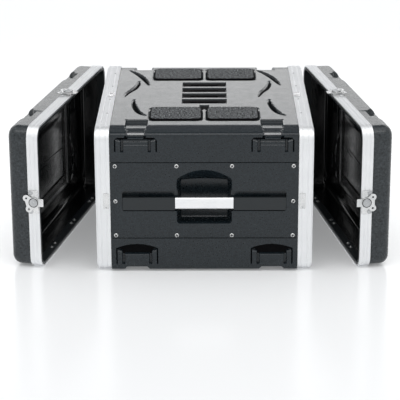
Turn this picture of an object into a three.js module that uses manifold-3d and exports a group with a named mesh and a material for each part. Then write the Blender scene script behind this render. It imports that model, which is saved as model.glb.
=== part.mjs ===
// Six-unit 19 inch equipment rack case, shown with both lids lifted off and standing beside it.
// Millimetres, +Z up. The origin is on the floor under the middle of the case body.
// X runs from the front opening (-X) to the rear opening (+X). The carrying handles are on the
// right (-Y) and left (+Y) sides.
import * as THREE from "three";
import { ConvexGeometry } from "three/addons/geometries/ConvexGeometry.js";
import { mergeVertices } from "three/addons/utils/BufferGeometryUtils.js";
import Module from "manifold-3d";

const wasm = await Module();
wasm.setup();

// Driving dimensions of the case body
const LENGTH = 498; // over both body valances, from parting plane to parting plane
const WIDTH = 590; // over the valances
const HEIGHT = 348;
const CORNER = 30; // outer corner radius of a valance
const HALF_LENGTH = LENGTH / 2;
const MIDDLE_Z = HEIGHT / 2;
const CORNER_STEPS = 2; // gives four facets round each corner
const ARCH_STEPS = 6;
const GAP = 0.3; // between pieces that touch

// Depths below the outer face of the valance, from outside to inside
const VALANCE_WALL = 2.7;
const SHELL_OUT = VALANCE_WALL + GAP;
const SHELL_WALL = 5;
const SHELL_IN = SHELL_OUT + SHELL_WALL;
const INNER_WALL_OUT = SHELL_IN + GAP;
const INNER_WALL_IN = INNER_WALL_OUT + 2.5;

// Valances, measured from the parting plane
const BODY_VALANCE = 31;
const BODY_INNER_WALL = 24;
const WEB = 6;
const TONGUE_OUT = 4.8;
const TONGUE_IN = 6.8;
const TONGUE_HEIGHT = 3;
const LID_VALANCE = 27;
const LID_INNER_WALL = 20;
const LID_WEB = 8;
const GROOVE_SIDE_CLEARANCE = 0.9;
const GROOVE_DEPTH = 4;
const PARTING_GAP = 0.4;

// Lids
const LID_DEPTH = 76;
const LID_BACK_RADIUS = 20;
const LID_PAD_HEIGHT = 1.5;
const LID_PAD_Y = 215;
const LID_PAD_Z = [96, 262];
const LID_PAD_SIZE = [46, 52];

// Each lid stands where it swings about an upright pole past the left end of the parting plane
const POLE_PAST_EDGE = 63;
const FRONT_LID_ANGLE = 11.9;
const REAR_LID_ANGLE = 10.1;

// Body shells and side panels
const SHELL_HALF_LENGTH = HALF_LENGTH - WEB - GAP;
const UPPER_SEAM = 269.5;
const LOWER_SEAM = 82.5;
const LAP_THICKNESS = 3;
const LAP_HEIGHT = 14;
const LAP_HALF_LENGTH = 224;

// Moulded stacking features, at the same X on the top, bottom and both sides
const STACK_X = 157.5;
const STACK_WIDTH = 98;
const STACK_DEPTH = 6;
const BACKING = 5; // how far the wall behind a feature reaches past it
const RECESS_WALL_BEHIND = 2.3;
const BLOCK_WIDTH = 58;
const POST_WIDTH = 13;
const UPPER_RECESS = [294, 327];
const UPPER_BLOCK = [296, 314];
const LOWER_RECESS = [20, 50];
const LOWER_ARCH = 66;
const LOWER_BLOCK = [21, 43];
const NOTCH_WIDTH = 50;
const NOTCH_FLOOR = 337;
const NOTCH_START_Y = 206;

// Pads, sunk slots and feet on the top and bottom
const PAD_X = [6, 128];
const PAD_ROWS = [[-206, -104], [144, 246]];
const SLOT_DEPTH = 2.5;
const SLOT_X = [-54, 54];
const SLOT_ROWS = [[-69, -31], [-19, 19], [31, 69], [81, 119]];
const SOCKET_X = [-11, 11];
const SOCKET_Y = [-117, -83];
const FOOT_Y = [208, 262];
const CENTRE_FOOT = [70, 55]; // half sizes

// Handle recess in a side panel
const CUP_HALF = 64;
const CUP_FLOOR_Z = 119;
const CUP_SHOULDER_Z = 229;
const CUP_TOP_Z = 251;
const CUP_DEPTH = 50;
const CUP_BACK_HALF = 57; // the back wall is smaller than the mouth, so the sides taper
const CUP_BACK_TOP_Z = 214.5;
const CUP_BACK_CORNER = 6;
const GROOVE_HALF = 190;
const GROOVE_Z = [150, 199];
const GROOVE_BACK = 15;
const RECESS_WALL = 4;
const GRIP_HALF = 67.5;
const GRIP_Z = [156, 183];
const GRIP_PROUD = 2;
const GRIP_THICKNESS = 12;
const GRIP_TAB = 30;
const WING_Z = [152, 183];
const WING_THICKNESS = 7.5;
const WING_FOOT = 38;

// Rack rails
const RACK_UNIT = 44.45;
const RACK_UNITS = 6;
const HOLE_OFFSETS = [6.35, 22.225, 38.1]; // within one unit
const HOLE_Y = 232.55; // 465.1 mm between the hole rows
const HOLE_RADIUS = 2.9;
const RAIL_INNER_Y = 224.8;
const RAIL_FACE_X = 216;
const RAIL_SIDE = 21;
const RAIL_STEEL = 2;
const RAIL_EXTRA = 3;

// Twist latches and keepers, measured from the hub
const LATCH_Z = 168;
const HUB_FROM_EDGE = 12.5;
const LATCH_TRAVEL = 5.5;
const BASE_BACK = -13.5;
const BASE_FRONT = 11;
const BASE_HALF = 29;
const BASE_THICKNESS = 1.5;
const GUIDE = [9.9, 11.4, 3.4]; // inner side, outer side, top
const ARM_HALF = 9.5;
const ARM_BACK = -13;
const ARM_TIP = 23.5;
const ARM_Z = [2.1, 3.6];
const PIN_RADIUS = 3;
const PIN_CLEARANCE = 0.4;
const WING_PLATE = [3.9, 5.7];
const HUB_RADIUS = 8.2;
const HUB_TOP = 7.2;
const EAR = [-14.5, 13.5, 8.3]; // x, y either side, radius
const EAR_HOLE = 2.1;
const KEEPER_FROM_EDGE = [14.5, 28.5];
const KEEPER_TOP = 1.2;
const KEEPER_HALF = 19;
const KEEPER_OFFSET = 8; // side keepers sit a little above the hook
const KEEPER_SLOT = [15.3, 19.5];
const KEEPER_SLOT_HALF = 10.5;

// Materials
const plastic = (colour) =>
  new THREE.MeshStandardMaterial({ color: colour, roughness: 0.6, metalness: 0 });
const metal = (colour, roughness) =>
  new THREE.MeshStandardMaterial({ color: colour, roughness, metalness: 1 });
const SHELL_BLACK = 0x33393b;
const LID_BLACK = 0x2b3032;
const ALUMINIUM = 0xdfe1e3;
const NICKEL = 0xc8cacb;
const STEEL_BLACK = 0x1c1d1f;

// ---- Solids ---------------------------------------------------------------------------------

// Turns a closed three.js geometry into a solid that can be joined and cut
function solid(geometry) {
  const bare = geometry.clone();
  bare.deleteAttribute("normal");
  bare.deleteAttribute("uv");
  const merged = mergeVertices(bare, 1e-4);
  const mesh = new wasm.Mesh({
    numProp: 3,
    vertProperties: new Float32Array(merged.attributes.position.array),
    triVerts: new Uint32Array(merged.index.array),
  });
  return new wasm.Manifold(mesh);
}

// Turns a solid back into a three.js geometry
function geometryOf(body) {
  const mesh = body.getMesh();
  const geometry = new THREE.BufferGeometry();
  geometry.setAttribute("position", new THREE.BufferAttribute(new Float32Array(mesh.vertProperties), 3));
  geometry.setIndex(new THREE.BufferAttribute(new Uint32Array(mesh.triVerts), 1));
  geometry.computeVertexNormals();
  return geometry;
}

const join = (solids) => solids.reduce((whole, piece) => whole.add(piece));
const cut = (body, solids) => solids.reduce((whole, piece) => whole.subtract(piece), body);

function box(x, y, z) {
  const geometry = new THREE.BoxGeometry(x[1] - x[0], y[1] - y[0], z[1] - z[0]);
  geometry.translate((x[0] + x[1]) / 2, (y[0] + y[1]) / 2, (z[0] + z[1]) / 2);
  return solid(geometry);
}

// A range mirrored onto the side given by sign, in rising order
const onSide = (range, sign) => (sign > 0 ? [range[0], range[1]] : [-range[1], -range[0]]);

// A rounded rectangle centred on (0, cy)
function roundedRectangle(width, height, radius, cy) {
  const [w, h, r] = [width / 2, height / 2, radius];
  const shape = new THREE.Shape();
  shape.moveTo(w, cy - h + r);
  shape.lineTo(w, cy + h - r);
  shape.absarc(w - r, cy + h - r, r, 0, Math.PI / 2, false);
  shape.lineTo(-w + r, cy + h);
  shape.absarc(-w + r, cy + h - r, r, Math.PI / 2, Math.PI, false);
  shape.lineTo(-w, cy - h + r);
  shape.absarc(-w + r, cy - h + r, r, Math.PI, 1.5 * Math.PI, false);
  shape.lineTo(w - r, cy - h);
  shape.absarc(w - r, cy - h + r, r, 1.5 * Math.PI, 2 * Math.PI, false);
  return shape;
}

// Extrudes an outline; the three axes say where its own x, y and extrusion direction point
function prism(shape, from, to, axes, options = {}) {
  const settings = { depth: to - from, bevelEnabled: false, curveSegments: CORNER_STEPS, ...options };
  const geometry = new THREE.ExtrudeGeometry(shape, settings);
  geometry.translate(0, 0, from);
  geometry.applyMatrix4(new THREE.Matrix4().makeBasis(...axes));
  return solid(geometry);
}

const X = new THREE.Vector3(1, 0, 0);
const Y = new THREE.Vector3(0, 1, 0);
const Z = new THREE.Vector3(0, 0, 1);
const BACKWARDS = new THREE.Vector3(0, -1, 0);
const alongX = (shape, range, options) => prism(shape, range[0], range[1], [Y, Z, X], options);
const alongY = (shape, range, options) => prism(shape, -range[1], -range[0], [X, Z, BACKWARDS], options);
const alongZ = (shape, range, options) => prism(shape, range[0], range[1], [X, Y, Z], options);

function circle(x, y, radius) {
  const shape = new THREE.Shape();
  shape.absarc(x, y, radius, 0, 2 * Math.PI, false);
  return shape;
}

// The case outline, `depth` inside the outer face of the valance
function outline(depth) {
  return roundedRectangle(WIDTH - 2 * depth, HEIGHT - 2 * depth, CORNER - depth, MIDDLE_Z);
}

// A ring round the opening between two depths
function ring(outer, inner, range) {
  return cut(alongX(outline(outer), range), [alongX(outline(inner), [range[0] - 1, range[1] + 1])]);
}

function piece(name, body, material) {
  const mesh = new THREE.Mesh(geometryOf(body), material);
  mesh.name = name;
  return mesh;
}

// ---- Case body ------------------------------------------------------------------------------

// Space cut into the side face round a moulded foot; its upper edge arches up to `arch`
function sideRecess(x, sign, range, arch) {
  const face = WIDTH / 2 - SHELL_OUT;
  const [x0, x1] = [x - STACK_WIDTH / 2, x + STACK_WIDTH / 2];
  const shape = new THREE.Shape();
  shape.moveTo(x0, range[0]);
  shape.lineTo(x1, range[0]);
  shape.lineTo(x1, range[1]);
  shape.quadraticCurveTo(x, 2 * arch - range[1], x0, range[1]);
  return alongY(shape, onSide([face - STACK_DEPTH, face + SHELL_OUT], sign), { curveSegments: ARCH_STEPS });
}

// The foot left standing in a recess: a middle block and a post at each end
function sideBlocks(x, sign, blockZ, postTop) {
  const face = WIDTH / 2 - SHELL_OUT;
  const y = onSide([face - STACK_DEPTH - 1, face - 0.5], sign);
  const postX = STACK_WIDTH / 2 - 1.5;
  const blocks = [box([x - BLOCK_WIDTH / 2, x + BLOCK_WIDTH / 2], y, blockZ)];
  for (const side of [-1, 1]) {
    const range = onSide([postX - POST_WIDTH, postX], side);
    blocks.push(box([x + range[0], x + range[1]], y, [blockZ[0], postTop]));
  }
  return blocks;
}

// Wall behind a recess
function sideBacking(x, sign, range) {
  const face = WIDTH / 2 - SHELL_OUT;
  const half = STACK_WIDTH / 2 + BACKING;
  const y = onSide([face - STACK_DEPTH - RECESS_WALL_BEHIND, face - 1], sign);
  return box([x - half, x + half], y, range);
}

// Wall of the body between the two valances
function bodyTube() {
  return ring(SHELL_OUT, SHELL_IN, [-SHELL_HALF_LENGTH, SHELL_HALF_LENGTH]);
}

const fullHeight = (z) => box([-LENGTH, LENGTH], [-WIDTH, WIDTH], z);

function topShell() {
  let shell = bodyTube().intersect(fullHeight([UPPER_SEAM + GAP / 2, 2 * HEIGHT]));
  const inner = WIDTH / 2 - SHELL_IN;
  const roof = HEIGHT - SHELL_IN;
  const envelope = alongX(outline(SHELL_OUT), [-SHELL_HALF_LENGTH, SHELL_HALF_LENGTH]);
  for (const sign of [-1, 1]) {
    const lapY = onSide([inner - GAP - LAP_THICKNESS, inner - GAP], sign);
    const lapX = [-LAP_HALF_LENGTH, LAP_HALF_LENGTH];
    const seat = onSide([inner - GAP - LAP_THICKNESS, inner + 1], sign);
    shell = join([
      shell,
      box(lapX, lapY, [UPPER_SEAM - LAP_HEIGHT, UPPER_SEAM + 2]),
      box(lapX, seat, [UPPER_SEAM + 1, UPPER_SEAM + 12]),
    ]);
    for (const x of [-STACK_X, STACK_X]) {
      const notchX = [x - NOTCH_WIDTH / 2, x + NOTCH_WIDTH / 2];
      const backX = [notchX[0] - BACKING, notchX[1] + BACKING];
      const backY = onSide([NOTCH_START_Y - BACKING, WIDTH / 2], sign);
      const backing = box(backX, backY, [NOTCH_FLOOR - BACKING, roof + 2]).intersect(envelope);
      shell = join([shell, sideBacking(x, sign, [UPPER_RECESS[0] - BACKING, roof + 1]), backing]);
      shell = cut(shell, [
        sideRecess(x, sign, UPPER_RECESS, UPPER_RECESS[1]),
        box(notchX, onSide([NOTCH_START_Y, WIDTH], sign), [NOTCH_FLOOR, 2 * HEIGHT]),
      ]);
      shell = join([shell, ...sideBlocks(x, sign, UPPER_BLOCK, UPPER_BLOCK[1] + 7)]);
    }
  }
  for (const row of PAD_ROWS) {
    for (const side of [-1, 1]) {
      shell = shell.add(box(onSide(PAD_X, side), row, [HEIGHT - SHELL_OUT - 1, HEIGHT]));
    }
  }
  const sunk = [HEIGHT - SHELL_OUT - SLOT_DEPTH, HEIGHT];
  const slots = SLOT_ROWS.map((row) => box(SLOT_X, row, sunk));
  return cut(shell, [...slots, box(SOCKET_X, SOCKET_Y, sunk)]);
}

function bottomShell() {
  let shell = bodyTube().intersect(fullHeight([-HEIGHT, LOWER_SEAM - GAP / 2]));
  const inner = WIDTH / 2 - SHELL_IN;
  for (const sign of [-1, 1]) {
    const lapY = onSide([inner - GAP - LAP_THICKNESS, inner - GAP], sign);
    const lapX = [-LAP_HALF_LENGTH, LAP_HALF_LENGTH];
    const seat = onSide([inner - GAP - LAP_THICKNESS, inner + 1], sign);
    shell = join([
      shell,
      box(lapX, lapY, [LOWER_SEAM - 2, LOWER_SEAM + LAP_HEIGHT]),
      box(lapX, seat, [LOWER_SEAM - 12, LOWER_SEAM - 1]),
    ]);
    for (const x of [-STACK_X, STACK_X]) {
      shell = shell.add(sideBacking(x, sign, [SHELL_IN - 1, LOWER_ARCH + BACKING]));
      shell = shell.subtract(sideRecess(x, sign, LOWER_RECESS, LOWER_ARCH));
      shell = join([shell, ...sideBlocks(x, sign, LOWER_BLOCK, LOWER_RECESS[1] - 2)]);
      const footX = [x - NOTCH_WIDTH / 2 + 2, x + NOTCH_WIDTH / 2 - 2];
      shell = shell.add(box(footX, onSide(FOOT_Y, sign), [0, SHELL_OUT + 1]));
    }
  }
  const [footX, footY] = CENTRE_FOOT.map((half) => [-half, half]);
  return shell.add(box(footX, footY, [0, SHELL_OUT + 1]));
}

// Corners of the cup's mouth, its top edge arched
function cupMouth(y, grow) {
  const half = CUP_HALF + grow;
  const [low, shoulder, top] = [CUP_FLOOR_Z - grow, CUP_SHOULDER_Z + grow, CUP_TOP_Z + grow];
  const points = [new THREE.Vector3(-half, y, low), new THREE.Vector3(half, y, low)];
  for (let i = 0; i <= ARCH_STEPS; i++) {
    const across = 1 - (2 * i) / ARCH_STEPS;
    const z = shoulder + (top - shoulder) * (1 - across * across);
    points.push(new THREE.Vector3(half * across, y, z));
  }
  return points;
}

// Corners of the cup's back wall, a rectangle with clipped corners
function cupBack(y, grow) {
  const half = CUP_BACK_HALF + grow;
  const [low, top] = [CUP_FLOOR_Z - grow, CUP_BACK_TOP_Z + grow];
  const points = [];
  for (const side of [-half, half]) {
    const clipped = side - Math.sign(side) * CUP_BACK_CORNER;
    points.push(new THREE.Vector3(side, y, low + CUP_BACK_CORNER));
    points.push(new THREE.Vector3(clipped, y, low));
    points.push(new THREE.Vector3(side, y, top - CUP_BACK_CORNER));
    points.push(new THREE.Vector3(clipped, y, top));
  }
  return points;
}

// The cup tapers from its mouth at |y| = `front` to its back wall at |y| = `back`
function cupSpace(sign, back, front, grow) {
  return solid(new ConvexGeometry([...cupMouth(sign * front, grow), ...cupBack(sign * back, grow)]));
}

function sidePanel(sign) {
  const face = WIDTH / 2 - SHELL_OUT;
  const [cupDeep, grooveBack] = [face - CUP_DEPTH, face - GROOVE_BACK];
  const grooveX = [-GROOVE_HALF, GROOVE_HALF];
  const plateX = [-SHELL_HALF_LENGTH, SHELL_HALF_LENGTH];
  const plateZ = [LOWER_SEAM + GAP / 2, UPPER_SEAM - GAP / 2];
  const plate = box(plateX, onSide([face - SHELL_WALL, face], sign), plateZ);
  const grooveShellX = [grooveX[0] - RECESS_WALL, grooveX[1] + RECESS_WALL];
  const grooveShellZ = [GROOVE_Z[0] - RECESS_WALL, GROOVE_Z[1] + RECESS_WALL];
  const trough = box(grooveShellX, onSide([grooveBack - RECESS_WALL, face - 1], sign), grooveShellZ);
  const cup = cupSpace(sign, cupDeep - RECESS_WALL, face - 1, RECESS_WALL);
  return cut(join([plate, trough, cup]), [
    box(grooveX, onSide([grooveBack, face + 1], sign), GROOVE_Z),
    cupSpace(sign, cupDeep, face + 1, 0),
  ]);
}

// Aluminium grip bar with a tab at each end that the black end cover holds down
function handleBar(sign) {
  const face = WIDTH / 2 - SHELL_OUT;
  const gripY = onSide([face + GRIP_PROUD - GRIP_THICKNESS, face + GRIP_PROUD], sign);
  const grip = box([-GRIP_HALF, GRIP_HALF], gripY, GRIP_Z);
  const tabZ = [GRIP_Z[0] + 4, GRIP_Z[1] - 4];
  const tabY = onSide([face - GROOVE_BACK + GAP, face - WING_THICKNESS - 2 * GAP], sign);
  const tabs = box([-GRIP_HALF - GRIP_TAB, GRIP_HALF + GRIP_TAB], tabY, tabZ);
  return grip.add(tabs);
}

function handleCover(sign, end) {
  const face = WIDTH / 2 - SHELL_OUT;
  const coverX = onSide([GRIP_HALF + GAP, GROOVE_HALF - GAP], end);
  const footX = onSide([GROOVE_HALF - WING_FOOT, GROOVE_HALF - GAP], end);
  const cover = box(coverX, onSide([face - WING_THICKNESS - GAP, face - GAP], sign), WING_Z);
  const foot = box(footX, onSide([face - GROOVE_BACK + GAP, face - WING_THICKNESS], sign), WING_Z);
  return cover.add(foot);
}

// Aluminium edge of the body: a channel over the shell with a tongue for the lid's groove.
// Measured outwards (+x) from the parting plane, so the body lies at negative x.
function bodyValance() {
  return join([
    ring(0, VALANCE_WALL, [-BODY_VALANCE, 0]),
    ring(0, INNER_WALL_IN, [-WEB, 0]),
    ring(INNER_WALL_OUT, INNER_WALL_IN, [-BODY_INNER_WALL, 0]),
    ring(TONGUE_OUT, TONGUE_IN, [-1, TONGUE_HEIGHT]),
  ]);
}

// L-section steel rail; `end` is -1 at the front and 1 at the rear
function rackRail(sign, end) {
  const bay = RACK_UNITS * RACK_UNIT;
  const low = MIDDLE_Z - bay / 2;
  const z = [low - RAIL_EXTRA, low + bay + RAIL_EXTRA];
  const outer = WIDTH / 2 - SHELL_IN - LAP_THICKNESS - 2 * GAP;
  const flangeX = onSide([RAIL_FACE_X - RAIL_STEEL, RAIL_FACE_X], end);
  const sideX = onSide([RAIL_FACE_X - RAIL_SIDE, RAIL_FACE_X], end);
  const flange = box(flangeX, onSide([RAIL_INNER_Y, outer], sign), z);
  const side = box(sideX, onSide([outer - RAIL_STEEL, outer], sign), z);
  const holes = [];
  for (let unit = 0; unit < RACK_UNITS; unit += 1) {
    for (const offset of HOLE_OFFSETS) {
      const shape = circle(sign * HOLE_Y, low + unit * RACK_UNIT + offset, HOLE_RADIUS);
      const through = onSide([RAIL_FACE_X - RAIL_STEEL - 1, RAIL_FACE_X + 1], end);
      holes.push(alongX(shape, through, { curveSegments: 3 }));
    }
  }
  return cut(flange.add(side), holes);
}

// ---- Lids -----------------------------------------------------------------------------------

function lidValance() {
  const grooveOut = TONGUE_OUT - GROOVE_SIDE_CLEARANCE;
  const grooveIn = TONGUE_IN + GROOVE_SIDE_CLEARANCE;
  const body = join([
    ring(0, VALANCE_WALL, [PARTING_GAP, LID_VALANCE]),
    ring(0, INNER_WALL_IN, [PARTING_GAP, LID_WEB]),
    ring(INNER_WALL_OUT, INNER_WALL_IN, [PARTING_GAP, LID_INNER_WALL]),
  ]);
  return body.subtract(ring(grooveOut, grooveIn, [-1, PARTING_GAP + GROOVE_DEPTH]));
}

// A block with every edge at its far end rounded to `radius`, reaching from x = 0 to `back`
function roundedBack(depth, radius, back) {
  const options = {
    bevelEnabled: true,
    bevelThickness: radius,
    bevelSize: radius,
    bevelOffset: -radius,
    bevelSegments: 3,
  };
  const block = alongX(outline(depth), [-radius, back - radius], options);
  return block.intersect(box([0, 2 * back], [-WIDTH, WIDTH], [-HEIGHT, 2 * HEIGHT]));
}

function lidShell() {
  const outer = roundedBack(SHELL_OUT, LID_BACK_RADIUS, LID_DEPTH);
  const inner = roundedBack(SHELL_IN, LID_BACK_RADIUS - SHELL_WALL, LID_DEPTH - SHELL_WALL);
  const open = box([-1, LID_WEB + GAP], [-WIDTH, WIDTH], [-HEIGHT, 2 * HEIGHT]);
  let shell = cut(outer, [inner, open]);
  for (const y of [-LID_PAD_Y, LID_PAD_Y]) {
    for (const z of LID_PAD_Z) {
      const [w, h] = [LID_PAD_SIZE[0] / 2, LID_PAD_SIZE[1] / 2];
      shell = shell.add(box([LID_DEPTH - 2, LID_DEPTH + LID_PAD_HEIGHT], [y - w, y + w], [z - h, z + h]));
    }
  }
  return shell;
}

// ---- Latches --------------------------------------------------------------------------------
// Latch frame: x towards the case, y along the rim, z straight out from the valance, hub at 0, 0

function latchBase() {
  const plate = new THREE.Shape();
  const [x0, x1, h, r] = [BASE_BACK, BASE_FRONT, BASE_HALF, 4];
  plate.moveTo(x0, -h + r);
  plate.lineTo(x0 + r, -h);
  plate.lineTo(x1 - r, -h);
  plate.lineTo(x1, -h + r);
  plate.lineTo(x1, h - r);
  plate.lineTo(x1 - r, h);
  plate.lineTo(x0 + r, h);
  plate.lineTo(x0, h - r);
  const guideZ = [GAP + 1, GUIDE[2]];
  const guides = [-1, 1].map((side) => box([x0, x1], onSide([GUIDE[0], GUIDE[1]], side), guideZ));
  return join([alongZ(plate, [GAP, GAP + BASE_THICKNESS]), ...guides]);
}

function latchHook() {
  const arm = box([ARM_BACK, ARM_TIP], [-ARM_HALF, ARM_HALF], ARM_Z);
  const reach = PIN_RADIUS + PIN_CLEARANCE;
  return cut(arm, [box([-LATCH_TRAVEL - reach, reach], [-reach, reach], [0, 2 * ARM_Z[1]])]);
}

// Outline round a hub circle and one ear circle
function earOutline(side) {
  const [ex, ey, er] = [EAR[0], side * EAR[1], EAR[2]];
  const distance = Math.hypot(ex, ey);
  const direction = Math.atan2(ey, ex);
  const spread = Math.acos((HUB_RADIUS - er) / distance);
  const shape = new THREE.Shape();
  shape.absarc(0, 0, HUB_RADIUS, direction + spread, direction - spread + 2 * Math.PI, false);
  shape.absarc(ex, ey, er, direction - spread, direction + spread, false);
  return shape;
}

function latchWing() {
  const pin = alongZ(circle(0, 0, PIN_RADIUS), [ARM_Z[0], HUB_TOP], { curveSegments: 4 });
  const hub = alongZ(circle(0, 0, HUB_RADIUS), [WING_PLATE[0], HUB_TOP], { curveSegments: 8 });
  const ears = [-1, 1].map((side) => alongZ(earOutline(side), WING_PLATE, { curveSegments: 4 }));
  const holes = [-1, 1].map((side) => {
    const hole = circle(EAR[0], side * EAR[1], EAR_HOLE);
    return alongZ(hole, [0, 2 * HUB_TOP], { curveSegments: 3 });
  });
  return cut(join([pin, hub, ...ears]), holes);
}

// Keeper plate on the body valance, in the latch frame of the closed lid
function keeperPlate(offset) {
  const edge = HUB_FROM_EDGE + PARTING_GAP;
  const range = KEEPER_FROM_EDGE.map((x) => x + edge);
  const slot = KEEPER_SLOT.map((x) => x + edge);
  const plate = box(range, [offset - KEEPER_HALF, offset + KEEPER_HALF], [GAP, KEEPER_TOP]);
  return cut(plate, [box(slot, [-KEEPER_SLOT_HALF, KEEPER_SLOT_HALF], [-1, 2 * KEEPER_TOP])]);
}

// ---- Assembly -------------------------------------------------------------------------------

// Places on the rim where a latch sits: outward normal and point on the valance, in the end frame
const LATCH_PLACES = {
  top: { normal: Z, y: 0, z: HEIGHT, keeper: 0 },
  plus: { normal: Y, y: WIDTH / 2, z: LATCH_Z, keeper: KEEPER_OFFSET },
  minus: { normal: BACKWARDS, y: -WIDTH / 2, z: LATCH_Z, keeper: -KEEPER_OFFSET },
};

// A group whose own frame is the latch frame
function latchFrame(place) {
  const towardsCase = X.clone().negate();
  const along = new THREE.Vector3().crossVectors(place.normal, towardsCase);
  const group = new THREE.Group();
  const turn = new THREE.Matrix4().makeBasis(towardsCase, along, place.normal);
  group.setRotationFromMatrix(turn);
  group.position.set(HUB_FROM_EDGE + PARTING_GAP, place.y, place.z);
  return group;
}

// One end of the case in its own frame: parting plane at x = 0, lid outwards at +x.
// `poleSide` is the end-frame side that the swing pole is on.
function caseEnd(prefix, sides, lidAngle, poleSide, restTurn) {
  const end = new THREE.Group();
  const lid = new THREE.Group();
  const swing = new THREE.Group();
  const pole = poleSide * (WIDTH / 2 + POLE_PAST_EDGE);
  end.add(piece(`${prefix}_body_valance`, bodyValance(), metal(ALUMINIUM, 0.4)));
  lid.add(piece(`${prefix}_lid_shell`, lidShell(), plastic(LID_BLACK)));
  lid.add(piece(`${prefix}_lid_valance`, lidValance(), metal(ALUMINIUM, 0.4)));
  for (const [key, place] of Object.entries(LATCH_PLACES)) {
    const name = sides[key];
    const frame = latchFrame(place);
    const wing = piece(`${prefix}_latch_wing_${name}`, latchWing(), metal(NICKEL, 0.35));
    wing.rotation.z = THREE.MathUtils.degToRad(restTurn[key] ?? 0);
    frame.add(piece(`${prefix}_latch_base_${name}`, latchBase(), metal(NICKEL, 0.35)));
    frame.add(piece(`${prefix}_latch_hook_${name}`, latchHook(), metal(NICKEL, 0.35)));
    frame.add(wing);
    lid.add(frame);
    const keeperFrame = latchFrame(place);
    keeperFrame.add(piece(`${prefix}_keeper_${name}`, keeperPlate(place.keeper), metal(NICKEL, 0.35)));
    end.add(keeperFrame);
  }
  lid.position.y = -pole;
  swing.position.y = pole;
  swing.rotation.z = THREE.MathUtils.degToRad(poleSide * lidAngle);
  swing.add(lid);
  end.add(swing);
  return end;
}

function caseBody() {
  const body = new THREE.Group();
  body.add(piece("top_shell", topShell(), plastic(SHELL_BLACK)));
  body.add(piece("bottom_shell", bottomShell(), plastic(SHELL_BLACK)));
  for (const [side, sign] of [["right", -1], ["left", 1]]) {
    body.add(piece(`side_panel_${side}`, sidePanel(sign), plastic(SHELL_BLACK)));
    body.add(piece(`handle_bar_${side}`, handleBar(sign), metal(ALUMINIUM, 0.4)));
    for (const [place, end] of [["front", -1], ["rear", 1]]) {
      body.add(piece(`handle_cover_${side}_${place}`, handleCover(sign, end), plastic(SHELL_BLACK)));
      body.add(piece(`rack_rail_${place}_${side}`, rackRail(sign, end), metal(STEEL_BLACK, 0.5)));
    }
  }
  return body;
}

const rackCase = new THREE.Group();
rackCase.add(caseBody());

const frontSides = { top: "top", plus: "right", minus: "left" };
const front = caseEnd("front", frontSides, FRONT_LID_ANGLE, -1, { plus: 13 });
front.position.x = -HALF_LENGTH;
front.rotation.z = Math.PI;
rackCase.add(front);

const rearSides = { top: "top", plus: "left", minus: "right" };
const rear = caseEnd("rear", rearSides, REAR_LID_ANGLE, 1, {});
rear.position.x = HALF_LENGTH;
rackCase.add(rear);

export default rackCase;
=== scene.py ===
"""Looks for the open equipment rack case: detailed meshes, materials, light and camera.

Lengths are in millimetres until a mesh is made. Case frame: X along the case, the right side
(-Y) faces the camera, Z up. End frame: x outwards from the parting plane, as on the rear end.
"""

import bmesh
import bpy
import math
from mathutils import Matrix, Vector


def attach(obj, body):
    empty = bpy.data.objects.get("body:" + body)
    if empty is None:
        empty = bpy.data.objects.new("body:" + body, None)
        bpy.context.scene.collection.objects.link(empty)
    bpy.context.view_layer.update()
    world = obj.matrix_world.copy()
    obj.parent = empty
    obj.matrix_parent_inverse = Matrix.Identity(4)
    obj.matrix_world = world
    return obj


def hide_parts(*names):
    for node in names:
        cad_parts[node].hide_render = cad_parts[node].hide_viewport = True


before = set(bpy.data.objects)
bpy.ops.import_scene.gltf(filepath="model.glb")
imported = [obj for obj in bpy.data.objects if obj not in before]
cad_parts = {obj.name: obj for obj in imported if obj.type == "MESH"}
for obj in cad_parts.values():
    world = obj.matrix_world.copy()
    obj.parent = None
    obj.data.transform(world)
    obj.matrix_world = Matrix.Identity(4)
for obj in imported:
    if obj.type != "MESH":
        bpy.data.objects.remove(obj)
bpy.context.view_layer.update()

# ---- Sizes ----

MM = 0.001
LENGTH, WIDTH, HEIGHT = 498, 590, 348
CORNER = 30  # radius of the valances' outer corners
STEP_IN = 3  # from the valances' outer face to the plastic
HALF_LENGTH, HALF_WIDTH, MIDDLE_Z = LENGTH / 2, WIDTH / 2, HEIGHT / 2
FACE, ROOF = HALF_WIDTH - STEP_IN, HEIGHT - STEP_IN  # outer faces of the shells and side panels
SHELL_X = 242.7  # half length of the plastic that shows between the valances
SEAMS, SEAM_GAP = (82.5, 269.5), 1.6  # heights of the seams between shells and side panels
STACK_X = 157.5  # the stacking feet and notches
LATCH_Z = 168
HUB_X = 12.9  # from the parting plane to a latch's hub
LID_DEPTH = 75.5  # half a millimetre less than the CAD lid, for its relief
POLE_Y = 358  # the upright line that a lid swings about
LID_ANGLE = {"front": 11.9, "rear": 10.1}
SIDES = (-1, 1)
SIDE_NAMES = {"front": {"top": "top", "plus": "right", "minus": "left"}}
SIDE_NAMES["rear"] = {"top": "top", "plus": "left", "minus": "right"}


# ---- Materials ----


def set_stops(ramp, positions, colours):
    """Gives a colour ramp node its two stops"""
    for stop, position, colour in zip(ramp.color_ramp.elements, positions, colours):
        stop.position = position
        stop.color = (*colour, 1)


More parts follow.
